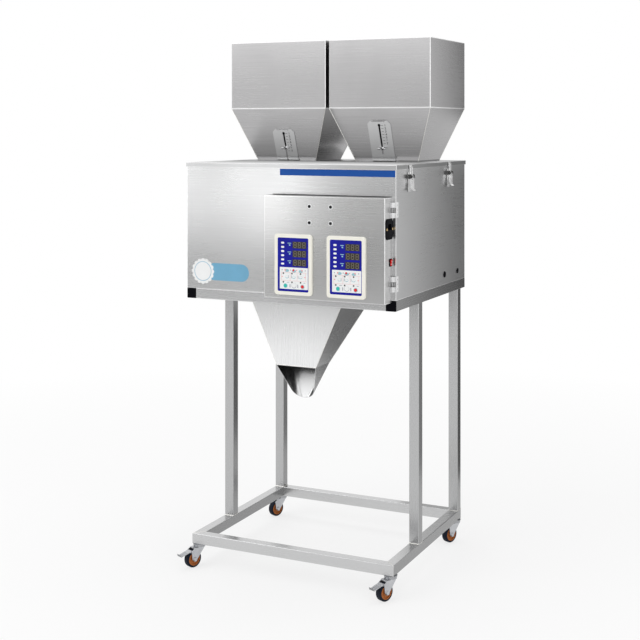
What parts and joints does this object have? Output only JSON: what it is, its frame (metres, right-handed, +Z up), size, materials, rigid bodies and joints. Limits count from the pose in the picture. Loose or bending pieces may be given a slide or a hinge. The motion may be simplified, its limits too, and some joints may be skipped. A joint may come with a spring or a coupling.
{
  "type": "powder filling machine",
  "caption": "Stainless powder filler: twin feed hoppers with sliding gates, latched cabinet, hinged control box with displays, weigh buckets, discharge funnel and a braked rolling stand.",
  "frame": {"origin": "on the floor, under the centre of the overall box", "axes": "+X to the operator's right, +Y to the back of the machine, +Z up"},
  "size_m": [0.6934, 0.639, 1.554],
  "materials": {
    "sheet_steel": "satin, fine brushed lines",
    "tube_steel": "satin, brushed along the tube",
    "black_plastic": "fine matte",
    "grommet_rubber": "matte",
    "caster_steel": "zinc plated",
    "wheel_rubber": "matte tyre on an orange brown hub",
    "bright_chrome": "bright plated",
    "hinge_steel": "satin",
    "bezel_cream": "semi gloss",
    "keypad_blue": "smooth film",
    "display_dark": "gloss",
    "board_green": "board lacquer",
    "supply_aluminium": "plain",
    "screw_black": "black oxide",
    "rocker_red": "gloss",
    "inner_steel": "satin",
    "base_grey": "powder coat",
    "spring_steel": "blued",
    "coil_black": "resin and black steel",
    "cell_aluminium": "machined",
    "plunger_steel": "ground"
  },
  "bodies": {
    "stand": {"cabinet_shell": "sheet_steel", "rear_panel": "sheet_steel", "cabinet_deck": "sheet_steel", "lid": "sheet_steel", "hopper_left": "sheet_steel", "hopper_right": "sheet_steel", "funnel": "sheet_steel", "cross_tubes": "tube_steel", "side_tubes": "tube_steel", "legs": "tube_steel", "rail_end_plugs": "black_plastic", "side_grommets": "grommet_rubber", "caster_heads": "caster_steel", "latch_bases": "bright_chrome", "latch_keepers": "bright_chrome", "fixed_hinge_leaves": "hinge_steel", "feeder_troughs": "inner_steel", "weigh_buckets": "inner_steel", "feeder_bases": "base_grey", "feeder_springs": "spring_steel", "feeder_magnets": "coil_black", "flap_solenoids": "coil_black", "load_cells": "cell_aluminium"},
    "door": {"control_box": "sheet_steel", "meter_bezels": "bezel_cream", "keypad_panels": "keypad_blue", "displays": "display_dark", "control_boards": "board_green", "mount_screws": "screw_black", "power_supply": "supply_aluminium", "power_inlet": "black_plastic", "switch_bezel": "black_plastic", "moving_hinge_leaves": "hinge_steel"},
    "rocker": {"power_rocker": "rocker_red"},
    "gate_plate_left": {"gate_left": "sheet_steel"},
    "wing_left": {"wing_nut_left": "bright_chrome"},
    "flap_left": {"bucket_flap_left": "inner_steel"},
    "plunger_left": {"solenoid_plunger_left": "plunger_steel"},
    "pedal_left": {"brake_pedal_left": "caster_steel"},
    "gate_plate_right": {"gate_right": "sheet_steel"},
    "wing_right": {"wing_nut_right": "bright_chrome"},
    "flap_right": {"bucket_flap_right": "inner_steel"},
    "plunger_right": {"solenoid_plunger_right": "plunger_steel"},
    "pedal_right": {"brake_pedal_right": "caster_steel"},
    "lever_front_left": {"latch_lever_front_left": "bright_chrome"},
    "bail_front_left": {"latch_bail_front_left": "bright_chrome"},
    "caster_front_left": {"fork_front_left": "caster_steel"},
    "roller_front_left": {"wheel_front_left": "wheel_rubber"},
    "lever_front_right": {"latch_lever_front_right": "bright_chrome"},
    "bail_front_right": {"latch_bail_front_right": "bright_chrome"},
    "caster_front_right": {"fork_front_right": "caster_steel"},
    "roller_front_right": {"wheel_front_right": "wheel_rubber"},
    "lever_rear_left": {"latch_lever_rear_left": "bright_chrome"},
    "bail_rear_left": {"latch_bail_rear_left": "bright_chrome"},
    "caster_rear_left": {"fork_rear_left": "caster_steel"},
    "roller_rear_left": {"wheel_rear_left": "wheel_rubber"},
    "lever_rear_right": {"latch_lever_rear_right": "bright_chrome"},
    "bail_rear_right": {"latch_bail_rear_right": "bright_chrome"},
    "caster_rear_right": {"fork_rear_right": "caster_steel"},
    "roller_rear_right": {"wheel_rear_right": "wheel_rubber"}
  },
  "joints": [
    {"name": "door_hinge", "type": "hinge", "parent": "stand", "child": "door", "pos_m": [0.3306, -0.2617, 0.958], "axis": [0, 0, 1], "range_deg": [0, 110]},
    {"name": "power_rocker_tilt", "type": "hinge", "parent": "door", "child": "rocker", "pos_m": [0.322, -0.274, 0.925], "axis": [0, -1, 0], "range_deg": [0, 16]},
    {"name": "gate_slide_left", "type": "slide", "parent": "stand", "child": "gate_plate_left", "axis": [0, -0.3584, 0.9336], "range_m": [-0.0195, 0.044]},
    {"name": "wing_nut_turn_left", "type": "hinge", "parent": "stand", "child": "wing_left", "pos_m": [-0.162, 0.05187, 1.2295], "axis": [0, -0.9336, -0.3584], "range_deg": [0, 360]},
    {"name": "gate_slide_right", "type": "slide", "parent": "stand", "child": "gate_plate_right", "axis": [0, -0.3584, 0.9336], "range_m": [-0.046, 0.0175]},
    {"name": "wing_nut_turn_right", "type": "hinge", "parent": "stand", "child": "wing_right", "pos_m": [0.162, 0.05187, 1.2295], "axis": [0, -0.9336, -0.3584], "range_deg": [0, 360]},
    {"name": "latch_lever_turn_front_left", "type": "hinge", "parent": "stand", "child": "lever_front_left", "pos_m": [-0.338, -0.1609, 1.154], "axis": [0, 1, 0], "range_deg": [0, 120]},
    {"name": "latch_bail_turn_front_left", "type": "hinge", "parent": "lever_front_left", "child": "bail_front_left", "pos_m": [-0.3365, -0.1609, 1.146], "axis": [0, 1, 0], "range_deg": [-146, 0]},
    {"name": "latch_lever_turn_front_right", "type": "hinge", "parent": "stand", "child": "lever_front_right", "pos_m": [0.338, -0.1609, 1.154], "axis": [0, -1, 0], "range_deg": [0, 120]},
    {"name": "latch_bail_turn_front_right", "type": "hinge", "parent": "lever_front_right", "child": "bail_front_right", "pos_m": [0.3365, -0.1609, 1.146], "axis": [0, -1, 0], "range_deg": [-146, 0]},
    {"name": "latch_lever_turn_rear_left", "type": "hinge", "parent": "stand", "child": "lever_rear_left", "pos_m": [-0.338, 0.1608, 1.154], "axis": [0, 1, 0], "range_deg": [0, 120]},
    {"name": "latch_bail_turn_rear_left", "type": "hinge", "parent": "lever_rear_left", "child": "bail_rear_left", "pos_m": [-0.3365, 0.1608, 1.146], "axis": [0, 1, 0], "range_deg": [-146, 0]},
    {"name": "latch_lever_turn_rear_right", "type": "hinge", "parent": "stand", "child": "lever_rear_right", "pos_m": [0.338, 0.1608, 1.154], "axis": [0, -1, 0], "range_deg": [0, 120]},
    {"name": "latch_bail_turn_rear_right", "type": "hinge", "parent": "lever_rear_right", "child": "bail_rear_right", "pos_m": [0.3365, 0.1608, 1.146], "axis": [0, -1, 0], "range_deg": [-146, 0]},
    {"name": "caster_swivel_front_left", "type": "hinge", "parent": "stand", "child": "caster_front_left", "pos_m": [-0.304, -0.2335, 0.057], "axis": [0, 0, 1], "continuous": true},
    {"name": "wheel_roll_front_left", "type": "hinge", "parent": "caster_front_left", "child": "roller_front_left", "pos_m": [-0.31361, -0.25549, 0.025], "axis": [0.9164, -0.4003, 0], "continuous": true},
    {"name": "brake_pedal_lift_left", "type": "hinge", "parent": "caster_front_left", "child": "pedal_left", "pos_m": [-0.31681, -0.26282, 0.045], "axis": [-0.9164, 0.4003, 0], "range_deg": [0, 15]},
    {"name": "caster_swivel_front_right", "type": "hinge", "parent": "stand", "child": "caster_front_right", "pos_m": [0.304, -0.2335, 0.057], "axis": [0, 0, 1], "continuous": true},
    {"name": "wheel_roll_front_right", "type": "hinge", "parent": "caster_front_right", "child": "roller_front_right", "pos_m": [0.29439, -0.25549, 0.025], "axis": [0.9164, -0.4003, 0], "continuous": true},
    {"name": "brake_pedal_lift_right", "type": "hinge", "parent": "caster_front_right", "child": "pedal_right", "pos_m": [0.29119, -0.26282, 0.045], "axis": [-0.9164, 0.4003, 0], "range_deg": [0, 15]},
    {"name": "caster_swivel_rear_left", "type": "hinge", "parent": "stand", "child": "caster_rear_left", "pos_m": [-0.304, 0.2965, 0.057], "axis": [0, 0, 1], "continuous": true},
    {"name": "wheel_roll_rear_left", "type": "hinge", "parent": "caster_rear_left", "child": "roller_rear_left", "pos_m": [-0.31361, 0.27451, 0.025], "axis": [0.9164, -0.4003, 0], "continuous": true},
    {"name": "caster_swivel_rear_right", "type": "hinge", "parent": "stand", "child": "caster_rear_right", "pos_m": [0.304, 0.2965, 0.057], "axis": [0, 0, 1], "continuous": true},
    {"name": "wheel_roll_rear_right", "type": "hinge", "parent": "caster_rear_right", "child": "roller_rear_right", "pos_m": [0.29439, 0.27451, 0.025], "axis": [0.9164, -0.4003, 0], "continuous": true},
    {"name": "flap_turn_left", "type": "hinge", "parent": "stand", "child": "flap_left", "pos_m": [-0.088, -0.0285, 0.902], "axis": [1, 0, 0], "range_deg": [0, 60], "stiffness_Nm_per_rad": 0.3, "springref_deg": -57.3},
    {"name": "plunger_slide_left", "type": "slide", "parent": "stand", "child": "plunger_left", "axis": [0, 0, 1], "range_m": [0, 0.013]},
    {"name": "flap_turn_right", "type": "hinge", "parent": "stand", "child": "flap_right", "pos_m": [0.088, -0.0285, 0.902], "axis": [1, 0, 0], "range_deg": [0, 60], "stiffness_Nm_per_rad": 0.3, "springref_deg": -57.3},
    {"name": "plunger_slide_right", "type": "slide", "parent": "stand", "child": "plunger_right", "axis": [0, 0, 1], "range_m": [0, 0.013]}
  ],
  "couplings": [
    {"joint": "latch_bail_turn_front_left", "follows": "latch_lever_turn_front_left", "ratio": -1.2083},
    {"joint": "latch_bail_turn_front_right", "follows": "latch_lever_turn_front_right", "ratio": -1.2083},
    {"joint": "latch_bail_turn_rear_left", "follows": "latch_lever_turn_rear_left", "ratio": -1.2083},
    {"joint": "latch_bail_turn_rear_right", "follows": "latch_lever_turn_rear_right", "ratio": -1.2083},
    {"joint": "plunger_slide_left", "follows": "flap_turn_left", "m_per_rad": 0.0122},
    {"joint": "plunger_slide_right", "follows": "flap_turn_right", "m_per_rad": 0.0122}
  ]
}
